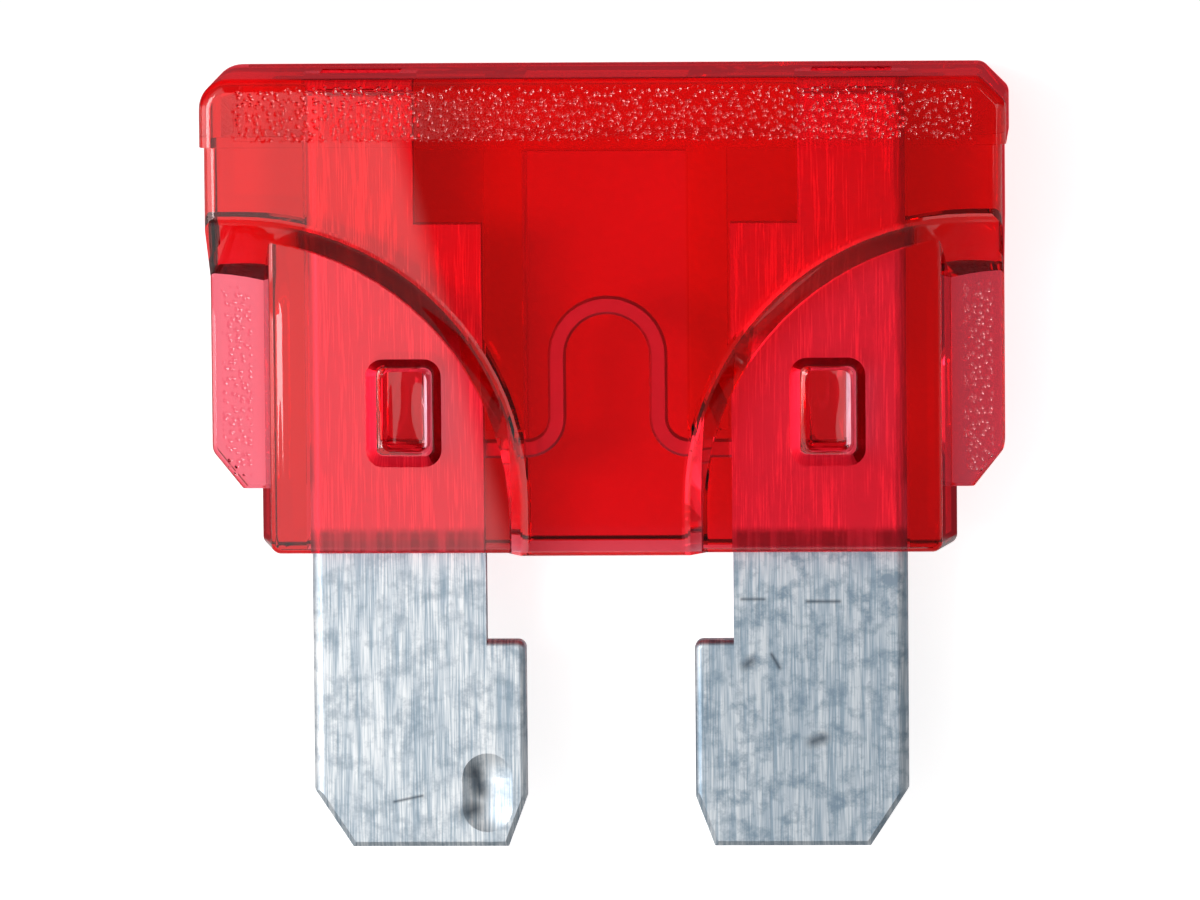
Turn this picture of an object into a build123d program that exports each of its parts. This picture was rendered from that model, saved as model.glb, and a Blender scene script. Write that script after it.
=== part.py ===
from build123d import *
from math import cos, radians, sin
import os

os.makedirs("parts", exist_ok=True)

# A regular blade fuse: one moulded transparent housing over one stamped zinc element.
# It lies on its back. X runs across the two blades, Y from the blade tips to the head, and
# Z up through the thickness. The origin is under the middle of the whole length and width,
# on the surface that the head rests on. All sizes are in millimetres.

# The stamped element, across its width
blade_gap = 4.04  # between the wide ends of the two blades
blade_width = 5.10
neck_notch = 0.94  # the blade is this much narrower above its shoulder
tab_width = 2.55  # the upper tab that a test probe touches

# The stamped element, along its length
blade_projection = 7.24  # from the underside of the housing to the blade tips
shoulder_drop = 2.28  # from the underside of the housing down to the blade's shoulder
step_height = 7.79  # from the underside up to the step where the tab starts
tab_length = 3.09
tip_outer_width = 0.92
tip_outer_length = 1.40
tip_inner_width = 0.45
tip_inner_length = 1.20

# The stamped element, its thickness, edges and holes
blade_thickness = 0.65
edge_roll = 0.26  # the rounded outer edges of the strip that it is stamped from
inner_roll = 0.16  # the softer rounding of the blades' inner edges
tip_bevel = 0.12
shoulder_round = 0.20
hole_width = 1.30
hole_length = 2.10
hole_round = 0.20

# The link that melts: a thin strip bent into an arch in the plane of the blades
link_width = 0.43
link_thickness = 0.28
link_span = 2.42  # between the centre lines of its two legs
link_foot_height = 2.37  # from the underside up to the centre line of its feet
link_foot_radius = 0.73
link_leg = 1.49  # the straight part of a leg
link_bevel = 0.06  # where the punch and the die have broken its edges

# The housing, through its thickness
slot_clearance = 0.07  # round the element, on every side
pad_wall = 1.405  # plastic over a blade in a corner pad
bell_rise = 0.60  # from the corner pads up to the raised middle
head_rise = 0.15  # from the raised middle up to the head
chamber_wall = 1.15  # plastic over the chamber of the link
wing_thickness = 1.30

# The housing, across its width
end_wall = 0.78  # plastic beyond a blade, at the front of a corner pad
side_draft = 0.33  # how far a pad's side leans out down to the middle plane
wing_reach = 1.15
head_lip = 0.10  # the head stands out this far past the shoulders
chamber_gap = 0.52  # from the link to the side of its chamber

# The housing, along its length
wing_start = 1.45  # from the underside up to the wings
wing_chamfer_width = 0.72
wing_chamfer_length = 0.90
head_length = 1.62
core_roof = 1.80  # plastic over the core, up to the top of the head
window_depth = 0.50  # from the top of the head down to the tabs
foot_room = 0.25  # free height over the feet of the link

# The quarter arcs that part the raised middle from the corner pads
arc_radius = 6.73
arc_base = 1.27  # from the underside up to the centre of the arc
lean_across = 0.60  # run of the arc's wall across the fuse, for each millimetre of depth
lean_along = 0.79  # run of the same wall along the fuse

# Test windows, staking pockets and grip
window_width = 1.90
window_thickness = 1.30
pocket_width = 1.80
pocket_length = 2.58
pocket_round = 0.42
pocket_lead = 0.30  # depth of the pocket's sloping mouth
pocket_slope = 38  # degrees that the mouth leans
punch_width = 1.08
punch_length = 1.92
punch_round = 0.22
stake_floor = 0.20  # plastic left between the pocket and the metal
stake_shift = 0.24  # both pockets sit this far to the right of their holes
stake_clearance = 0.05  # round the plug of plastic in its hole
stake_height = 3.36  # from the underside up to the middle of the hole
grip_depth = 0.05
grip_side = 0.84
grip_top = 0.50
grip_foot = 0.16

# Rounded corners and edges of the housing
head_corner_round = 0.72
head_corner_cut = 0.62
head_cut_round = 0.30
head_edge = 0.30
shoulder_edge = 0.28
foot_corner = 0.24
wing_corner = 0.35
small_edge = 0.12

# A knock on the front of the left blade
dent_from_tip = 1.30
dent_from_inner_edge = 0.95
dent_width = 1.20
dent_length = 1.90
dent_depth = 0.15

# Places that follow from the sizes above, across the width
blade_inner = blade_gap / 2
blade_outer = blade_inner + blade_width
neck_inner = blade_inner + neck_notch
neck_middle = (neck_inner + blade_outer) / 2
tab_inner = blade_outer - tab_width
tab_middle = blade_outer - tab_width / 2
pad_side = blade_outer + slot_clearance + end_wall
body_side = pad_side + side_draft
wing_side = body_side + wing_reach
head_side = wing_side + head_lip
link_outer = (link_span + link_width) / 2
chamber_side = link_outer + chamber_gap

# Places along the length
housing_length = step_height + tab_length + window_depth
overall_length = blade_projection + housing_length
tip = -overall_length / 2
underside = tip + blade_projection
top = tip + overall_length
head_foot = top - head_length
core_top = top - core_roof
tab_top = top - window_depth
step = underside + step_height
shoulder = underside - shoulder_drop
foot_line = underside + link_foot_height
stake_line = underside + stake_height

# Heights over the middle plane, which the front and the back share
metal_half = blade_thickness / 2
slot_half = metal_half + slot_clearance
pad_half = slot_half + pad_wall
bell_half = pad_half + bell_rise
head_half = bell_half + head_rise
chamber_half = bell_half - chamber_wall
wing_half = wing_thickness / 2

# The knock is the shallow side of a lying capsule of this radius
dent_radius = (dent_width**2 / 4 + dent_depth**2) / (2 * dent_depth)

# Where the cuts that leave the raised middle end, well outside the block that they cut
cut_reach = chamber_side + arc_radius + wing_reach + lean_across * bell_half
cut_foot = underside - wing_start - lean_along * bell_half
cut_height = head_half + head_rise

middle = Plane.XY.offset(head_half)
end_view = Plane(origin=(0, underside, head_half), x_dir=(1, 0, 0), z_dir=(0, -1, 0))

# The knock: a lying capsule that dips into the front of the blade
dent_height = head_half + metal_half + dent_radius - dent_depth
dent_middle = (-blade_inner - dent_from_inner_edge, tip + dent_from_tip, dent_height)
with BuildPart() as dent:
    with BuildSketch(Plane(origin=dent_middle)):
        SlotCenterToCenter(dent_length - dent_width, 2 * dent_radius, rotation=90)
        with Locations((dent_radius / 2, 0)):
            Rectangle(dent_radius, dent_length + 2 * dent_radius, mode=Mode.INTERSECT)
    revolve(axis=Axis(dent_middle, (0, 1, 0)))

# The link: its centre line runs from foot to leg to arch, and is given its width
with BuildPart() as link:
    with BuildSketch(middle):
        with BuildLine():
            foot_end = link_span / 2 + link_foot_radius
            foot = Line((neck_inner + link_width, foot_line), (foot_end, foot_line))
            bend = JernArc(foot @ 1, foot % 1, link_foot_radius, -90)
            leg = Line(bend @ 1, bend @ 1 + (0, link_leg))
            JernArc(leg @ 1, leg % 1, link_span / 2, 90)
            mirror(about=Plane.YZ)
        trace(line_width=link_width)
    extrude(amount=link_thickness / 2, both=True)
    chamfer(link.edges().filter_by(Axis.Z, reverse=True), length=link_bevel)

# The element: two mirrored blades stamped from one strip, joined by the arched link
with BuildPart() as fuse_element:
    with BuildSketch(middle) as blades:
        with BuildLine():
            Polyline(
                (blade_outer, tab_top),
                (tab_inner, tab_top),
                (tab_inner, step),
                (neck_inner, step),
                (neck_inner, shoulder),
                (blade_inner, shoulder),
                (blade_inner, tip + tip_inner_length),
                (blade_inner + tip_inner_width, tip),
                (blade_outer - tip_outer_width, tip),
                (blade_outer, tip + tip_outer_length),
                close=True,
            )
        make_face()
        shoulder_corner = blades.vertices().group_by(Axis.Y)[-3].sort_by(Axis.X)[0]
        fillet(shoulder_corner, radius=shoulder_round)
        with Locations((neck_middle, stake_line)):
            RectangleRounded(hole_width, hole_length, hole_round, mode=Mode.SUBTRACT)
        mirror(about=Plane.YZ)
    extrude(amount=metal_half, both=True)
    face_edges = fuse_element.edges().filter_by(Axis.Z, reverse=True)
    tip_edges = face_edges.filter_by(lambda edge: edge.center().Y < tip + tip_inner_length)
    chamfer(tip_edges, length=tip_bevel)
    straight_edges = fuse_element.edges().filter_by(Axis.Y)
    outer_edges = straight_edges.filter_by(lambda edge: abs(edge.center().X) > blade_outer - edge_roll)
    inner_edges = straight_edges.filter_by(lambda edge: abs(edge.center().X) < blade_inner + edge_roll)
    fillet(outer_edges, radius=edge_roll)
    fillet(inner_edges, radius=inner_roll)
    add(dent.part, mode=Mode.SUBTRACT)
    add(link.part)

fuse_element.part.label = "fuse_element"
export_step(fuse_element.part, "parts/fuse_element.step")

# The cut that leaves the raised middle: its wall leans out as it goes down from a rounded rim.
# Each layer is a height over the middle plane, and how far the rim has opened there.
rim_layers = [
    (bell_half - small_edge * (1 - sin(radians(turn))), small_edge * (1 - cos(radians(turn))))
    for turn in (0, 30, 60, 90)
]
with BuildPart() as corner_cut:
    for height, opening in [(0, 0), *rim_layers, (cut_height, small_edge)]:
        depth = bell_half - height
        layer_radius = arc_radius + opening
        arc_x = chamber_side + arc_radius + lean_across * depth
        arc_y = underside + arc_base - lean_along * depth
        with BuildSketch(middle.offset(height)):
            with BuildLine():
                side = Line((arc_x - layer_radius, cut_foot), (arc_x - layer_radius, arc_y))
                quarter = RadiusArc(side @ 1, (arc_x, arc_y + layer_radius), layer_radius)
                Polyline(
                    quarter @ 1,
                    (cut_reach, arc_y + layer_radius),
                    (cut_reach, cut_foot),
                    side @ 0,
                )
            make_face()
    loft(ruled=True)
    mirror(about=Plane.YZ)
    mirror(about=middle)

# The raised middle and the shoulders, as one block less the four corners
with BuildPart() as raised:
    with BuildSketch(middle):
        with Locations((0, (underside + head_foot) / 2)):
            Rectangle(2 * wing_side, head_foot - underside)
    extrude(amount=bell_half, both=True)
    fillet(raised.edges().filter_by(Axis.Y), radius=shoulder_edge)
    fillet(raised.edges().group_by(Axis.Y)[0].filter_by(Axis.X), radius=small_edge)
    add(corner_cut.part, mode=Mode.SUBTRACT)

# The body under it: its front and back are the corner pads
with BuildPart() as body:
    with BuildSketch(end_view):
        with BuildLine():
            Polyline(
                (0, pad_half),
                (pad_side, pad_half),
                (body_side, 0),
                (pad_side, -pad_half),
                (0, -pad_half),
                close=True,
            )
        make_face()
        mirror(about=Plane.YZ)
    extrude(amount=-(head_foot - underside))
    foot_edges = body.edges().group_by(Axis.Y)[0]
    fillet(foot_edges.filter_by(lambda edge: abs(edge.center().X) > pad_side), radius=foot_corner)
    for face in (body.faces().sort_by(Axis.Z)[-1], body.faces().sort_by(Axis.Z)[0]):
        rim = face.edges().filter_by(lambda edge: edge.center().Y < head_foot - small_edge)
        fillet(rim, radius=small_edge)

# The thin wings at both ends
with BuildPart() as wings:
    with BuildSketch(middle) as wing_plan:
        with BuildLine():
            Polyline(
                (chamber_side, underside + wing_start),
                (wing_side - wing_chamfer_width, underside + wing_start),
                (wing_side, underside + wing_start + wing_chamfer_length),
                (wing_side, head_foot),
                (chamber_side, head_foot),
                close=True,
            )
        make_face()
        wing_corners = wing_plan.vertices().filter_by(lambda corner: corner.X > wing_side - small_edge)
        fillet(wing_corners.sort_by(Axis.Y)[0], radius=wing_corner)
        mirror(about=Plane.YZ)
    extrude(amount=wing_half, both=True)
    rim = wings.edges().filter_by(Axis.Z, reverse=True).filter_by(lambda edge: edge.center().Y < head_foot)
    fillet(rim.filter_by(lambda edge: abs(edge.center().X) > body_side), radius=small_edge)

# The head, thicker than the rest, with one round and one cut corner
with BuildPart() as head:
    with BuildSketch(middle) as head_plan:
        with Locations((0, (head_foot + top) / 2)):
            Rectangle(2 * head_side, head_length)
        chamfer(head_plan.vertices().group_by(Axis.Y)[-1].sort_by(Axis.X)[-1], length=head_corner_cut)
        fillet(head_plan.vertices().group_by(Axis.Y)[-1].sort_by(Axis.X)[0], radius=head_corner_round)
        right_corners = head_plan.vertices().filter_by(lambda corner: corner.X > 0)
        fillet(right_corners.filter_by(lambda corner: corner.Y > head_foot), radius=head_cut_round)
    extrude(amount=head_half, both=True)
    for face in (head.faces().sort_by(Axis.Z)[-1], head.faces().sort_by(Axis.Z)[0]):
        fillet(face.edges().filter_by(lambda edge: edge.center().Y > head_foot), radius=head_edge)

# The core: the void that the element slides into from the underside, with its windows
with BuildPart() as core:
    with BuildSketch(middle):
        with BuildLine():
            Polyline(
                (0, cut_foot),
                (blade_outer + slot_clearance, cut_foot),
                (blade_outer + slot_clearance, tab_top + slot_clearance),
                (tab_inner - slot_clearance, tab_top + slot_clearance),
                (tab_inner - slot_clearance, core_top),
                (neck_inner - slot_clearance, core_top),
                (neck_inner - slot_clearance, foot_line + link_width / 2 + foot_room),
                (0, foot_line + link_width / 2 + foot_room),
                close=True,
            )
        make_face()
        mirror(about=Plane.YZ)
    extrude(amount=slot_half, both=True)
    with BuildSketch(middle):
        with Locations((0, (cut_foot + core_top) / 2)):
            Rectangle(2 * chamber_side, core_top - cut_foot)
    extrude(amount=chamber_half, both=True)
    with BuildSketch(middle):
        with Locations((tab_middle, top), (-tab_middle, top)):
            Rectangle(window_width, 2 * window_depth)
    extrude(amount=window_thickness / 2, both=True)

# The staking pockets: a sloping mouth, then the straight print of the punch
with BuildPart() as pockets:
    for side in (-1, 1):
        pocket_middle = (side * neck_middle + stake_shift, stake_line)
        with BuildSketch(middle.offset(pad_half)):
            with Locations(pocket_middle):
                RectangleRounded(pocket_width, pocket_length, pocket_round)
        extrude(amount=-pocket_lead, taper=pocket_slope)
        with BuildSketch(middle.offset(slot_half + stake_floor)):
            with Locations(pocket_middle):
                RectangleRounded(punch_width, punch_length, punch_round)
        extrude(amount=pad_wall - stake_floor)
    mirror(about=middle)

# The plugs of plastic that the punches press through the holes of the blades
with BuildPart() as plugs:
    with BuildSketch(middle):
        with Locations((neck_middle, stake_line), (-neck_middle, stake_line)):
            RectangleRounded(
                hole_width - 2 * stake_clearance,
                hole_length - 2 * stake_clearance,
                hole_round - stake_clearance,
            )
    extrude(amount=slot_half, both=True)

# The shallow recess on both faces of the head that gives the fingers a grip
with BuildPart() as grips:
    with BuildSketch(middle.offset(head_half - grip_depth)):
        with Locations((0, (head_foot + grip_foot + top - grip_top) / 2)):
            Rectangle(2 * (head_side - grip_side), head_length - grip_foot - grip_top)
    extrude(amount=2 * grip_depth)
    mirror(about=middle)

with BuildPart() as housing:
    add(body.part)
    add(wings.part)
    add(raised.part)
    add(head.part)
    add(core.part, mode=Mode.SUBTRACT)
    add(plugs.part)
    add(pockets.part, mode=Mode.SUBTRACT)
    add(grips.part, mode=Mode.SUBTRACT)

housing.part.label = "housing"
export_step(housing.part, "parts/housing.step")
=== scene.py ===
# %% [markdown]
# # A blade fuse in Blender
#
# The object is a small blade fuse: one housing moulded from transparent red plastic, and one
# element stamped from zinc strip, whose two blades come out of it at the bottom. It lies on its
# back on a white table and is seen from above. The solids come from the CAD model, at their true
# size and place, so this script gives them their finish, their light and the camera.

# %% Load the CAD frame
from math import pi, radians, sin

import bmesh
import bpy
from mathutils import Matrix, Vector


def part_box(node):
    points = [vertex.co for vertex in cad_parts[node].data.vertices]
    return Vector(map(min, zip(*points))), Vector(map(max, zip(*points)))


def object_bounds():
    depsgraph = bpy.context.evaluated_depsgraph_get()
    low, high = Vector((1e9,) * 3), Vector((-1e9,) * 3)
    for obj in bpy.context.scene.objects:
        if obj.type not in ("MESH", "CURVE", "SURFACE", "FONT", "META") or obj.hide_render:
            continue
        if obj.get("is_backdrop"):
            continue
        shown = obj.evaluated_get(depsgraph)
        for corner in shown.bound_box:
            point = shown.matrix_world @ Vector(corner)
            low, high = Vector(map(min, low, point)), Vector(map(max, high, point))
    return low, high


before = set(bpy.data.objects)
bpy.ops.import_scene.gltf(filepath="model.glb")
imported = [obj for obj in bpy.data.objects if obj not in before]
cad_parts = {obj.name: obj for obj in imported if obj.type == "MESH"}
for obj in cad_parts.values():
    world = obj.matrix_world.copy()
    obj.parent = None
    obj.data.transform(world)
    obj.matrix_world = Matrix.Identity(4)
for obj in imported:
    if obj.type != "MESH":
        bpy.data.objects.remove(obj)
scene = bpy.context.scene
mm = 0.001


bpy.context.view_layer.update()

# %% [markdown]
# ## The two solids
#
# A clear plastic shows every wall from both sides, so its solid has to be right inside as well as
# outside. It could be built again here from boxes and bevels. The CAD solid already has the true
# walls, slots and chamber, and its mesh carries exact normals for every rounding, so both solids
# stay as they are and only change their material.

# %% Pick up the solids
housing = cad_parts["housing"]
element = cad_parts["fuse_element"]
middle_height = sum(corner[2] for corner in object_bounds()) / 2
for solid in (housing, element):
    low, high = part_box(solid.name)
    print(solid.name, "is", [round(size / mm, 2) for size in high - low], "mm")

# %% [markdown]
# ## Two helpers for materials
#
# Colours are written as a designer reads them off a screen, in sRGB hex, and are turned to the
# linear light that the renderer works in. The other helper adds one node to a material, gives it
# its settings and joins its inputs: an input is named by its label, or by its number after an
# underscore. A node that is passed to an input stands for its first output.


# %% Colour and node helpers
def linear(hex_colour):
    parts = [int(hex_colour[i : i + 2], 16) / 255 for i in (1, 3, 5)]
    return [p / 12.92 if p <= 0.04045 else ((p + 0.055) / 1.055) ** 2.4 for p in parts] + [1]


def add(tree, kind, settings=None, **inputs):
    node = tree.nodes.new(kind)
    for key, value in (settings or {}).items():
        setattr(node, key, value)
    for key, value in inputs.items():
        number = key.lstrip("_")
        socket = node.inputs[int(number) if number.isdigit() else key.replace("_", " ")]
        if isinstance(value, bpy.types.Node):
            value = value.outputs[0]
        if isinstance(value, bpy.types.NodeSocket):
            tree.links.new(value, socket)
        else:
            socket.default_value = value
    return node


def empty_material(name):
    material = bpy.data.materials.new(name)
    material.use_nodes = True
    material.node_tree.nodes.clear()
    return material, material.node_tree


times = {"operation": "MULTIPLY"}
times_plus = {"operation": "MULTIPLY_ADD"}
plus = {"operation": "ADD"}
minus = {"operation": "SUBTRACT"}
clamped_minus = {"operation": "SUBTRACT", "use_clamp": True}
greater = {"operation": "MAXIMUM"}
size_only = {"operation": "ABSOLUTE"}
smooth = {"interpolation_type": "SMOOTHSTEP"}
colours = {"data_type": "RGBA"}

# %% [markdown]
# ## Where a finish begins and ends
#
# A mould is polished in some places and grained in others. A mask could be painted on the mesh.
# Object coordinates do it with no painting: the object sits at the origin, so a coordinate in
# millimetres is a place on the drawing. A zone is one where a coordinate lies between two places,
# and zero outside, with a soft step, or two other values if they are given. A patch is a small
# turned rectangle, for one mark.


# %% Places, zones and patches
def millimetres(tree):
    place = add(tree, "ShaderNodeTexCoord").outputs["Object"]
    return add(tree, "ShaderNodeMapping", Vector=place, Scale=(1000, 1000, 1000))


def axes(tree, place):
    return add(tree, "ShaderNodeSeparateXYZ", Vector=place).outputs


def zone(tree, value, low, high, soft=0.04, inside=1.0, outside=0.0):
    middle, half = (low + high) / 2, (high - low) / 2
    offset = add(tree, "ShaderNodeMath", minus, _0=value, _1=middle)
    away = add(tree, "ShaderNodeMath", size_only, _0=offset)
    limits = {"From_Min": half - soft, "From_Max": half + soft, "To_Min": inside, "To_Max": outside}
    return add(tree, "ShaderNodeMapRange", smooth, Value=away, **limits)


def patch(tree, place, centre, long, wide, degrees, soft=0.04):
    turned = {"vector_type": "TEXTURE"}
    angle = (0, 0, radians(degrees))
    local = add(tree, "ShaderNodeMapping", turned, Vector=place, Location=(*centre, 0), Rotation=angle)
    lengthwise, crosswise, _ = axes(tree, local)
    in_length = zone(tree, lengthwise, -long / 2, long / 2, min(soft, long / 2))
    in_width = zone(tree, crosswise, -wide / 2, wide / 2, soft)
    return add(tree, "ShaderNodeMath", times, _0=in_length, _1=in_width)


# %% [markdown]
# ## Red plastic
#
# The housing is injection moulded from a clear polysulfone with a red dye in it. The colour is in
# the depth of the plastic and not on its skin: the thin wings look pink and the thick head looks
# deep red. A tinted skin would give every wall the same red. A volume absorption follows the true
# thickness of the solid instead. The skin is colourless and glossy, with the index of refraction
# of this plastic, about 1.6. To the eye that is red glass with thin bright lines on its roundings.
#
# The mould is polished, but for the head's grip, its ends and the wings, which were left grained.

# %% Grained and polished zones of the mould
head_face = 2.45
grip_along, grip_edge_along, grip_half = (7.85, 8.81), (8.7, 9.12), 8.71
wing_along, wing_across, wing_face = (-0.3, 4.2), (8.5, 9.15), 0.62
end_along, head_end = (7.85, 9.0), 9.5
edge_wear, wing_grain = 0.7, 0.75  # share of the grain on the grip's rounding and on the wings

red_plastic, tree = empty_material("polysulfone_moulded_clear_red")
drawing = millimetres(tree)
across, along, up = axes(tree, drawing)
from_middle = add(tree, "ShaderNodeMath", minus, _0=up, _1=middle_height / mm)
on_face = zone(tree, from_middle, -head_face, head_face, soft=0.02, inside=0.0, outside=1.0)
grip_edge = zone(tree, along, *grip_edge_along, soft=0.1, inside=edge_wear)
grip_length = add(tree, "ShaderNodeMath", greater, _0=zone(tree, along, *grip_along), _1=grip_edge)
grip_width = zone(tree, across, -grip_half, grip_half)
grip_area = add(tree, "ShaderNodeMath", times, _0=grip_width, _1=grip_length)
grip = add(tree, "ShaderNodeMath", times, _0=grip_area, _1=on_face)
from_centre = add(tree, "ShaderNodeMath", size_only, _0=across)
wing_area = add(tree, "ShaderNodeMath", times, _0=zone(tree, along, *wing_along), _1=wing_grain)
wing_area = add(tree, "ShaderNodeMath", times, _0=wing_area, _1=zone(tree, from_centre, *wing_across))
on_wing = zone(tree, from_middle, -wing_face, wing_face, soft=0.01, inside=0.0, outside=1.0)
wing = add(tree, "ShaderNodeMath", times, _0=wing_area, _1=on_wing)
at_end = zone(tree, across, -head_end, head_end, soft=0.02, inside=0.0, outside=1.0)
ends = add(tree, "ShaderNodeMath", times, _0=zone(tree, along, *end_along), _1=at_end)
grained = add(tree, "ShaderNodeMath", greater, _0=grip, _1=ends)
grained = add(tree, "ShaderNodeMath", greater, _0=grained, _1=wing)
print("grained: the grip, the ends of the head and the wings")

# %% [markdown]
# Grain of this kind is spark eroded in the mould: small round pits with polished land between
# them, deepest on the grip. Painted dots would lie flat. Cells with a dip in the middle give pits
# steep enough for single ones to catch the lamp. The real pits lie closer together, and these are
# drawn as coarse as they need to be to show. A flat pattern is quicker than one in space, and the
# sum of two coordinates lays it on the faces at the front and at the ends alike. Two softer
# reliefs are added: the uneven floors of the two staking pockets, which a hot punch pressed, and
# the outer edges of the lower body, which roll off a little. All heights are in millimetres and
# add up to one bump.

# %% Relief of the moulded skin
pit_spacing, pit_radius, pit_depth, grain_roughness = 0.165, 0.062, 0.019, 0.06
press_mark, press_depth = (0.6, 1.6, 1.0), 0.12
roll_middle, roll_half, roll_along, roll_depth = 7.73, 0.11, (-3.5, 4.1), 0.028
pocket_shift, pocket_across, pocket_along = 0.24, (4.49, 5.59), (0.34, 2.24)

grain_across = add(tree, "ShaderNodeMath", plus, _0=across, _1=up)
grain_place = add(tree, "ShaderNodeCombineXYZ", X=grain_across, Y=along)
flat_cells = {"voronoi_dimensions": "2D"}
cells = add(tree, "ShaderNodeTexVoronoi", flat_cells, Vector=grain_place, Scale=1 / pit_spacing)
to_land = {"From_Max": pit_radius / pit_spacing, "To_Min": -pit_depth, "To_Max": 0.0}
pits = add(tree, "ShaderNodeMapRange", smooth, Value=cells, **to_land)
mark_scale = [1 / size for size in press_mark]
press_place = add(tree, "ShaderNodeMapping", Vector=drawing, Scale=mark_scale)
presses = add(tree, "ShaderNodeTexNoise", Vector=press_place, Scale=1.0, Detail=0.0)
shifted = add(tree, "ShaderNodeMath", minus, _0=across, _1=pocket_shift)
to_pockets = add(tree, "ShaderNodeMath", size_only, _0=shifted)
pocket_width = zone(tree, to_pockets, *pocket_across, soft=0.1)
pocket_length = zone(tree, along, *pocket_along, soft=0.1)
pocket_floors = add(tree, "ShaderNodeMath", times, _0=pocket_width, _1=pocket_length)
press_height = add(tree, "ShaderNodeMath", times, _0=presses, _1=press_depth)
rolled = zone(tree, across, -roll_middle, roll_middle, roll_half, inside=0.0, outside=-roll_depth)
roll_reach = zone(tree, along, *roll_along, soft=0.6)

relief = add(tree, "ShaderNodeMath", times, _0=pits, _1=grained)
for height, place in ((press_height, pocket_floors), (rolled, roll_reach)):
    relief = add(tree, "ShaderNodeMath", times_plus, _0=height, _1=place, _2=relief)
bump = add(tree, "ShaderNodeBump", Height=relief, Strength=1.0, Distance=mm)
print("pits are", pit_radius * 2, "mm wide and", pit_depth, "mm deep")

# %% [markdown]
# The quarter-arc walls beside the raised middle lean, so they pipe their light away to the back
# and look nearly black from the front. The renderer follows only a few of those bounces. A painted
# shade, a dark red on walls that lean by this much, at this height, stands for the light that is
# lost there, and it grows from the lower end of each arc to the upper. The mouths of the staking
# pockets get the same painted shade on the two sides that face away from the lamp.

# %% Leaning walls that pipe their light away
rim_height, pad_height, arc_half = 2.37, 1.84, 7.5
uprightness, fade_start, fade_end = (0.25, 0.86), -0.5, 3.2
mouth_across, mouth_along, mouth_floor = (4.04, 6.04), (-0.11, 2.69), 0.3
away_start, away_end = -0.2, -0.5  # of the wall's normal

facing = axes(tree, add(tree, "ShaderNodeNewGeometry").outputs["True Normal"])
steepness = add(tree, "ShaderNodeMath", size_only, _0=facing["Z"])
leaning = zone(tree, steepness, *uprightness, soft=0.02)
under_rim = zone(tree, from_middle, -rim_height, rim_height, soft=0.01)
over_pads = zone(tree, from_middle, -pad_height, pad_height, soft=0.01, inside=0.0, outside=1.0)
piped = add(tree, "ShaderNodeMapRange", Value=along, From_Min=fade_start, From_Max=fade_end)
for place in (leaning, under_rim, over_pads, zone(tree, across, -arc_half, arc_half, soft=0.4)):
    piped = add(tree, "ShaderNodeMath", times, _0=piped, _1=place)

away = {"From_Min": away_start, "From_Max": away_end}
to_left = add(tree, "ShaderNodeMapRange", smooth, Value=facing["X"], **away)
to_tips = add(tree, "ShaderNodeMapRange", smooth, Value=facing["Y"], **away)
pocket_mouth_shade = add(tree, "ShaderNodeMath", greater, _0=to_left, _1=to_tips)
mouth_width = zone(tree, to_pockets, *mouth_across, soft=0.05)
mouth_length = zone(tree, along, *mouth_along, soft=0.05)
above_floor = {"From_Min": mouth_floor, "From_Max": mouth_floor + 0.2}
front = add(tree, "ShaderNodeMapRange", smooth, Value=from_middle, **above_floor)
for place in (mouth_width, mouth_length, front):
    pocket_mouth_shade = add(tree, "ShaderNodeMath", times, _0=pocket_mouth_shade, _1=place)
piped = add(tree, "ShaderNodeMath", greater, _0=piped, _1=pocket_mouth_shade)
# Painted shade in the skin's colour, on the leaning walls and the pockets' mouths
painted_wall_shade = add(tree, "ShaderNodeMix", colours, _0=piped, _6=(1, 1, 1, 1), _7=linear("#481010"))
print("dark walls: the two arcs and the pockets' mouths")

# %% [markdown]
# The dye is given as a colour and a density. The share that is missing from the colour, times the
# density, is what a metre of plastic takes out: about 37 of red, 1470 of green and 1170 of blue,
# as powers of e. A wing 1.3 mm thick still lets a fifth of the blue through, and the thick head
# hardly any. Shadow rays pass the skin as if it were open, so that the lamps reach the metal and
# the paper through the plastic, and lose only what the dye takes.

# %% Skin, dye and shadow
skin = add(
    tree,
    "ShaderNodeBsdfPrincipled",
    Base_Color=painted_wall_shade.outputs[2],
    Roughness=add(tree, "ShaderNodeMath", times, _0=grained, _1=grain_roughness),
    IOR=1.6,
    Transmission_Weight=1.0,
    Normal=bump,
)
shadow_ray = add(tree, "ShaderNodeLightPath").outputs["Is Shadow Ray"]
open_skin = add(tree, "ShaderNodeBsdfTransparent", Color=(1, 1, 1, 1))
surface = add(tree, "ShaderNodeMixShader", _0=shadow_ray, _1=skin, _2=open_skin)
dye = add(tree, "ShaderNodeVolumeAbsorption", Color=(0.975, 0.02, 0.22, 1), Density=1500.0)
add(tree, "ShaderNodeOutputMaterial", Surface=surface, Volume=dye)
housing.material_slots[0].material = red_plastic
print("housing finish:", red_plastic.name)

# %% [markdown]
# ## Zinc
#
# The element is stamped from rolled zinc strip. The rolls leave fine lines along the strip, about
# a hundredth of a millimetre apart, so to the eye it is a pale bluish metal whose sheen is drawn
# out along them. A photograph of metal could be wrapped on. Stretched noises stay sharp from close
# by. Lines at the true spacing would be too fine to show, so they are drawn a few times coarser,
# with a second set of wide streaks over them.

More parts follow.
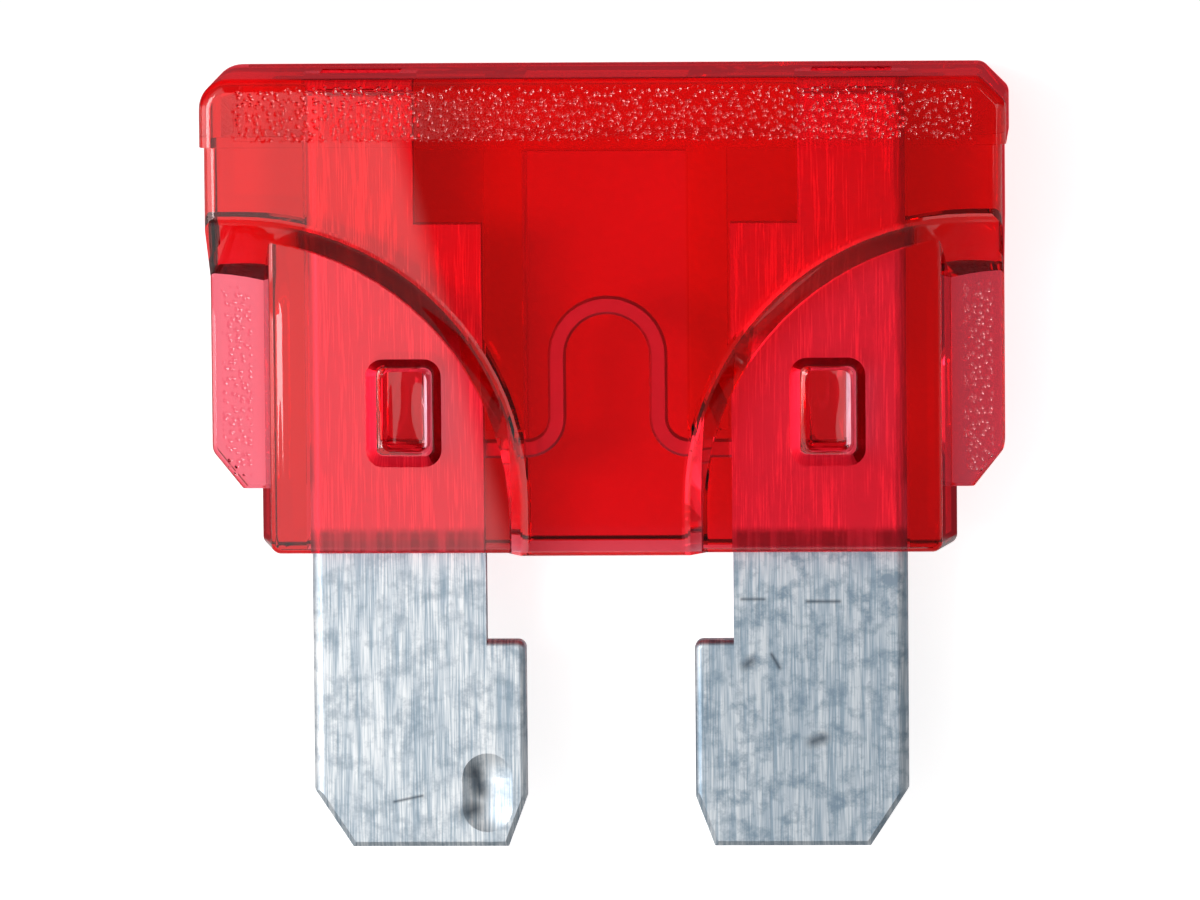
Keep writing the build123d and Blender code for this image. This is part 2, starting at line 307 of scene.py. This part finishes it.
# %% Rolling lines
line_length, streak_length = 1.3, 4.0
fine_line, coarse_line, stain = 0.04, 0.2, 0.45
fine_share = 0.6
zinc, tree = empty_material("zinc_strip_rolled_and_stamped")
drawing = millimetres(tree)
across, along, up = axes(tree, drawing)
fine_stretch = add(tree, "ShaderNodeMapping", Vector=drawing, Scale=(1 / fine_line, 1 / line_length, 1.0))
fine_lines = add(tree, "ShaderNodeTexNoise", Vector=fine_stretch, Scale=1.0, Detail=3.0)
coarse_size = (1 / coarse_line, 1 / streak_length, 1.0)
coarse_stretch = add(tree, "ShaderNodeMapping", Vector=drawing, Scale=coarse_size)
coarse_lines = add(tree, "ShaderNodeTexNoise", Vector=coarse_stretch, Scale=1.0, Detail=2.0)
stains = add(tree, "ShaderNodeTexNoise", Vector=drawing, Scale=1 / stain, Detail=5.0, Roughness=0.65)
coarse_part = add(tree, "ShaderNodeMath", times, _0=coarse_lines, _1=1 - fine_share)
lines = add(tree, "ShaderNodeMath", times_plus, _0=fine_lines, _1=fine_share, _2=coarse_part)
print("rolling lines every", fine_line, "and", coarse_line, "mm")

# %% [markdown]
# A used fuse has a few scratches across the lines, from its holder, and scuffs from handling. They
# could be dents in the solid, but they are much too shallow. Each one is a soft patch of darker
# metal, given by its middle, its length and width in millimetres, its angle and its softness. The
# last two lie in the knock of the left blade and are painted shade in its hollow.

# %% Scratches and marks on the bare blades
marks = (
    ((-4.87, -8.15), 0.75, 0.05, 12, 0.04),
    ((3.42, -3.36), 0.6, 0.05, 0, 0.05),
    ((5.1, -3.42), 0.85, 0.06, 0, 0.05),
    ((3.95, -4.85), 0.45, 0.07, -60, 0.05),
    ((4.95, -6.75), 0.5, 0.20, 20, 0.16),
    ((3.3, -4.9), 0.35, 0.16, 40, 0.14),
    # The last two marks are painted shade in the knock of the left blade
    ((-3.2, -7.75), 0.8, 0.3, 105, 0.2),
    ((-3.35, -8.45), 0.5, 0.3, 20, 0.2),
)
scars_and_dent_shade = patch(tree, drawing, *marks[0])
for mark in marks[1:]:
    scars_and_dent_shade = add(tree, "ShaderNodeMath", greater, _0=scars_and_dent_shade, _1=patch(tree, drawing, *mark))
print("marks on the blades:", len(marks))

# %% [markdown]
# Inside the housing the metal stays clean. The bare blades have been handled: they are stained,
# and their colour darkens towards the right one. Just inside the underside, the strip is painted
# in darker streaks, a painted shade. The link mirrors only red walls, so its reddish tone is a
# painted reflection that makes it nearly one colour with the plastic round it.

# %% Zinc colour, gloss and surface
underside, shade_along, link_half = -2.05, (-2.1, -1.62), 2.9
clean_level, scar_and_dent_shade_share = 0.55, 0.85
out_of_cap = {"From_Min": underside, "From_Max": underside - 0.15}
bare = add(tree, "ShaderNodeMapRange", smooth, Value=along, **out_of_cap)
enclosed = add(tree, "ShaderNodeMath", minus, _0=1.0, _1=bare)
line_tone = add(tree, "ShaderNodeMapRange", Value=lines, From_Min=0.4, From_Max=0.6)
clean = add(tree, "ShaderNodeMath", times, _0=enclosed, _1=clean_level)
line_tone = add(tree, "ShaderNodeMath", greater, _0=line_tone, _1=clean)
bright = add(tree, "ShaderNodeMix", colours, _0=line_tone, _6=linear("#A9B9C6"), _7=linear("#F6F9FB"))

stain_level = add(tree, "ShaderNodeMapRange", Value=stains, From_Min=0.46, From_Max=0.66, To_Max=0.55)
# The bare metal darkens towards the right
darker_to_right = add(tree, "ShaderNodeMapRange", Value=across, From_Min=-3.0, From_Max=4.0, To_Max=0.35)
stains_and_right_darkening = add(tree, "ShaderNodeMath", plus, _0=stain_level, _1=darker_to_right)
stains_and_right_darkening = add(tree, "ShaderNodeMath", times, _0=stains_and_right_darkening, _1=bare)
stained_and_darker_right = add(tree, "ShaderNodeMix", colours, _0=stains_and_right_darkening, _6=bright.outputs[2], _7=linear("#7D92A3"))
scar_and_dent_shade_tone = add(tree, "ShaderNodeMath", times, _0=scars_and_dent_shade, _1=scar_and_dent_shade_share)
scarred_and_dent_shaded = add(tree, "ShaderNodeMix", colours, _0=scar_and_dent_shade_tone, _6=stained_and_darker_right.outputs[2], _7=linear("#3E4A56"))

link = add(tree, "ShaderNodeMath", times, _0=zone(tree, across, -link_half, link_half), _1=enclosed)
breaks = {"From_Min": 0.3, "From_Max": 0.6, "To_Min": 0.4, "To_Max": 0.95}
# Painted shade: the strip darkened in streaks just inside the underside
underside_painted_shade = add(tree, "ShaderNodeMapRange", Value=coarse_lines, **breaks)
for place in (zone(tree, along, *shade_along, soft=0.12), enclosed):
    underside_painted_shade = add(tree, "ShaderNodeMath", times, _0=underside_painted_shade, _1=place)
# Painted reflection: the link is given a reddish tone for the red walls it mirrors
red_painted_light = add(tree, "ShaderNodeMix", colours, _0=link, _6=scarred_and_dent_shaded.outputs[2], _7=linear("#C8888C"))
finish = add(tree, "ShaderNodeMix", colours, _0=underside_painted_shade, _6=red_painted_light.outputs[2], _7=linear("#8A8488"))
line_bump = add(tree, "ShaderNodeBump", Height=lines, Strength=1.0, Distance=0.004 * mm)
gloss = {"From_Min": 0.3, "From_Max": 0.7, "To_Min": 0.42, "To_Max": 0.58}
metal = add(
    tree,
    "ShaderNodeBsdfPrincipled",
    Base_Color=finish.outputs[2],
    Metallic=1.0,
    Roughness=add(tree, "ShaderNodeMapRange", Value=lines, **gloss),
    Normal=line_bump,
)
add(tree, "ShaderNodeOutputMaterial", Surface=metal)
element.material_slots[0].material = zinc
print("element finish:", zinc.name)

# %% [markdown]
# ## The table
#
# The fuse lies on a sheet of white paper that runs out to white. Bright lamps would do that, but
# they would burn out the metal too. The paper is a plain grey matte that takes the shadow, with a
# glow that only the camera, reflections and the view through the plastic can see. Under the fuse
# and just beside its walls the glow is red, a painted light for the light that comes through the
# plastic. Past the head's top, and beside the walls as reflections see them, the paper is a
# painted shade of dark grey. The room is brighter on the left, so the glow seen through the
# plastic's edges is painted brighter there.

# %% Table
table_half = 0.6
# Places on the paper, in millimetres: past the head's top, beside the walls and under the fuse
beyond_start, beyond_end = 9.25, 9.55
side_limit, side_along = 10.6, (-2.4, 12.0)
under_across, under_along = (-8.2, 8.2), (-2.6, 9.2)
# Strength of the glow, where 1 is white
camera_level, mirror_level, wall_level, under_level = 0.78, 0.05, 0.5, 0.22
left_edge_level, right_edge_level, edge_place = 0.4, 0.1, 9.0

grid = bmesh.new()
bmesh.ops.create_grid(grid, x_segments=1, y_segments=1, size=table_half)
table_mesh = bpy.data.meshes.new("white_table")
grid.to_mesh(table_mesh)
grid.free()
table = bpy.data.objects.new("white_table", table_mesh)
scene.collection.objects.link(table)
table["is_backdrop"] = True

paper, tree = empty_material("white_paper")
seen = add(tree, "ShaderNodeLightPath").outputs
table_x, table_y, _ = axes(tree, millimetres(tree))
beyond = add(tree, "ShaderNodeMapRange", Value=table_y, From_Min=beyond_start, From_Max=beyond_end)
mirrored = add(
    tree, "ShaderNodeMath", clamped_minus, _0=seen["Is Glossy Ray"], _1=seen["Is Transmission Ray"]
)
near_width = zone(tree, table_x, -side_limit, side_limit, soft=0.6)
near_length = zone(tree, table_y, *side_along, soft=0.2)
near_sides = add(tree, "ShaderNodeMath", times, _0=near_width, _1=near_length)
beside = add(tree, "ShaderNodeMath", times, _0=near_sides, _1=mirrored)
by_the_walls = add(tree, "ShaderNodeMath", greater, _0=beyond, _1=beside)
# Painted shade: the paper is dark grey past the head's top, and beside the walls in reflections
paper_with_painted_shade = add(tree, "ShaderNodeMix", colours, _0=by_the_walls, _6=linear("#D0D0D0"), _7=linear("#303030"))
matte = add(tree, "ShaderNodeBsdfDiffuse", Color=paper_with_painted_shade.outputs[2])

camera_glow = add(tree, "ShaderNodeMapRange", Value=beyond, To_Min=camera_level, To_Max=1.0)
wall_glow = {"To_Min": mirror_level, "To_Max": wall_level}
edge_glow = add(tree, "ShaderNodeMapRange", Value=by_the_walls, **wall_glow)
strength = add(tree, "ShaderNodeMath", times, _0=seen["Is Camera Ray"], _1=camera_glow)
strength = add(tree, "ShaderNodeMath", times_plus, _0=seen["Is Glossy Ray"], _1=edge_glow, _2=strength)

under_width = zone(tree, table_x, *under_across, soft=0.4)
under_length = zone(tree, table_y, *under_along, soft=0.2)
under = add(tree, "ShaderNodeMath", times, _0=under_width, _1=under_length)
to_right = {"From_Min": -edge_place, "From_Max": edge_place}
edge_levels = {"To_Min": left_edge_level, "To_Max": right_edge_level}
open_glow = add(tree, "ShaderNodeMapRange", Value=table_x, **to_right, **edge_levels)
through = add(tree, "ShaderNodeMix", {"data_type": "FLOAT"}, _0=under, _2=open_glow, _3=under_level)
strength = add(tree, "ShaderNodeMath", times_plus, _0=seen["Is Transmission Ray"], _1=through, _2=strength)

# Painted red light under the fuse and, in reflections, beside its walls
covered = add(tree, "ShaderNodeMath", times, _0=under, _1=seen["Is Transmission Ray"])
wall_painted_light = add(tree, "ShaderNodeMath", times, _0=by_the_walls, _1=mirrored)
red_painted_light = add(tree, "ShaderNodeMath", greater, _0=covered, _1=wall_painted_light)
light = add(tree, "ShaderNodeMix", colours, _0=red_painted_light, _6=(1, 1, 1, 1), _7=(1, 0.03, 0.05, 1))
glow = add(tree, "ShaderNodeEmission", Color=light.outputs[2], Strength=strength)
sheet = add(tree, "ShaderNodeAddShader", _0=matte, _1=glow)
add(tree, "ShaderNodeOutputMaterial", Surface=sheet)
paper.cycles.emission_sampling = "NONE"  # the glow lights nothing, so no ray is aimed at it
table_mesh.materials.append(paper)
print("table:", table.name, "with", paper.name)

# %% [markdown]
# ## The room
#
# Clear plastic is mostly what it mirrors, so the room matters as much as the lamps. A picture of
# a studio could surround the fuse. Plain gradients over the direction are enough: the left is
# bright and the right dimmer, the far side is dark, which keeps the head's edge a deep red, and
# the near side is dimmed too. The ceiling is dark but for its left part, whose edge slants as a
# window's does. The flat faces on the left of the fuse mirror it as a soft haze that stops at a
# slanting line.

# %% Room
room = bpy.data.worlds.new("soft_room")
scene.world = room
room.use_nodes = True
tree = room.node_tree
tree.nodes.clear()
sideways, lengthways, upward = axes(tree, add(tree, "ShaderNodeTexCoord").outputs["Generated"])
left_to_right = {"From_Min": -0.9, "From_Max": 0.9, "To_Min": 0.9, "To_Max": 0.4}
to_far = {"From_Min": 0.08, "From_Max": 0.4, "To_Min": 1.0, "To_Max": 0.2}
from_near = {"From_Min": -0.45, "From_Max": -0.2, "To_Min": 0.4, "To_Max": 1.0}
haze_to_dark = {"From_Min": -0.0871, "From_Max": -0.0847, "To_Min": 1.2, "To_Max": 0.08}
window_slant = 0.265
walls = add(tree, "ShaderNodeMapRange", Value=sideways, **left_to_right)
far_side = add(tree, "ShaderNodeMapRange", smooth, Value=lengthways, **to_far)
near_side = add(tree, "ShaderNodeMapRange", smooth, Value=lengthways, **from_near)
overhead = add(tree, "ShaderNodeMapRange", smooth, Value=upward, From_Min=0.5, From_Max=0.9)
slanting = add(tree, "ShaderNodeMath", times_plus, _0=lengthways, _1=window_slant, _2=sideways)
haze = add(tree, "ShaderNodeMapRange", smooth, Value=slanting, **haze_to_dark)
level = add(tree, "ShaderNodeMath", times, _0=walls, _1=far_side)
level = add(tree, "ShaderNodeMath", times, _0=level, _1=near_side)
level = add(tree, "ShaderNodeMix", {"data_type": "FLOAT"}, _0=overhead, _2=level, _3=haze)
background = add(tree, "ShaderNodeBackground", Color=(1, 1, 1, 1), Strength=level)
add(tree, "ShaderNodeOutputWorld", Surface=background)
print("room:", room.name)

# %% [markdown]
# ## The lamps
#
# One soft box stands above and to the left. It is too far aside for the flat faces to mirror it,
# so it shows only as thin lines on the roundings and as sparks in the grain. A long strip, low on
# the left, draws the left edges, and a weak box on the right keeps that side from going black.
# Their places and sizes are in metres, and each one's power is worked out from its size, so that
# a larger lamp is as bright as a small one.


# %% Lamps
def soft_light(name, place, wide, deep, brightness):
    data = bpy.data.lights.new(name, "AREA")
    data.shape = "RECTANGLE"
    data.size, data.size_y = wide, deep
    data.energy = brightness * pi * wide * deep
    lamp = bpy.data.objects.new(name, data)
    scene.collection.objects.link(lamp)
    lamp.location = place
    lamp.rotation_euler = Vector(place).to_track_quat("Z", "Y").to_euler()
    print("lamp:", name, "at", place)


soft_light("soft_box_above_left", (-0.12, 0.02, 0.20), 0.08, 0.10, 7.5)
soft_light("strip_low_left", (-0.20, 0.0, 0.10), 0.05, 0.25, 2.0)
soft_light("fill_right", (0.16, 0.05, 0.20), 0.12, 0.12, 1.5)

# %% [markdown]
# ## The camera
#
# The camera looks down from 300 mm, leaning a little to the right and towards the head. Its lens
# is worked out from how many pixels of a 1200 pixel wide frame show one millimetre of the fuse.

# %% Camera
distance, pixels_per_mm, frame_width, film_width = 300 * mm, 41.87, 1200, 36
lean_right, lean_to_head, roll_degrees = 2.74, 6.3, -0.5
shift_left, shift_up = 9.2, 8.3  # pixels from the middle of the fuse to the middle of the frame

target = Vector((0, 0, middle_height))
towards = Vector((sin(radians(lean_right)), sin(radians(lean_to_head)), 1)).normalized()
roll = Matrix.Rotation(radians(roll_degrees), 3, towards)
right = roll @ Vector((0, 1, 0)).cross(towards).normalized()
upwards = towards.cross(right)
aim = target + (upwards * shift_up - right * shift_left) / pixels_per_mm * mm
data = bpy.data.cameras.new("camera")
data.sensor_width = film_width
data.lens = pixels_per_mm * (distance / mm) * film_width / frame_width
data.clip_start = 0.01
camera = bpy.data.objects.new("camera", data)
scene.collection.objects.link(camera)
turn = Matrix((right, upwards, towards)).transposed().to_4x4()
camera.matrix_world = Matrix.Translation(aim + towards * distance) @ turn
scene.camera = camera
scene.view_settings.view_transform = "Standard"
print("lens:", round(data.lens, 1), "mm")
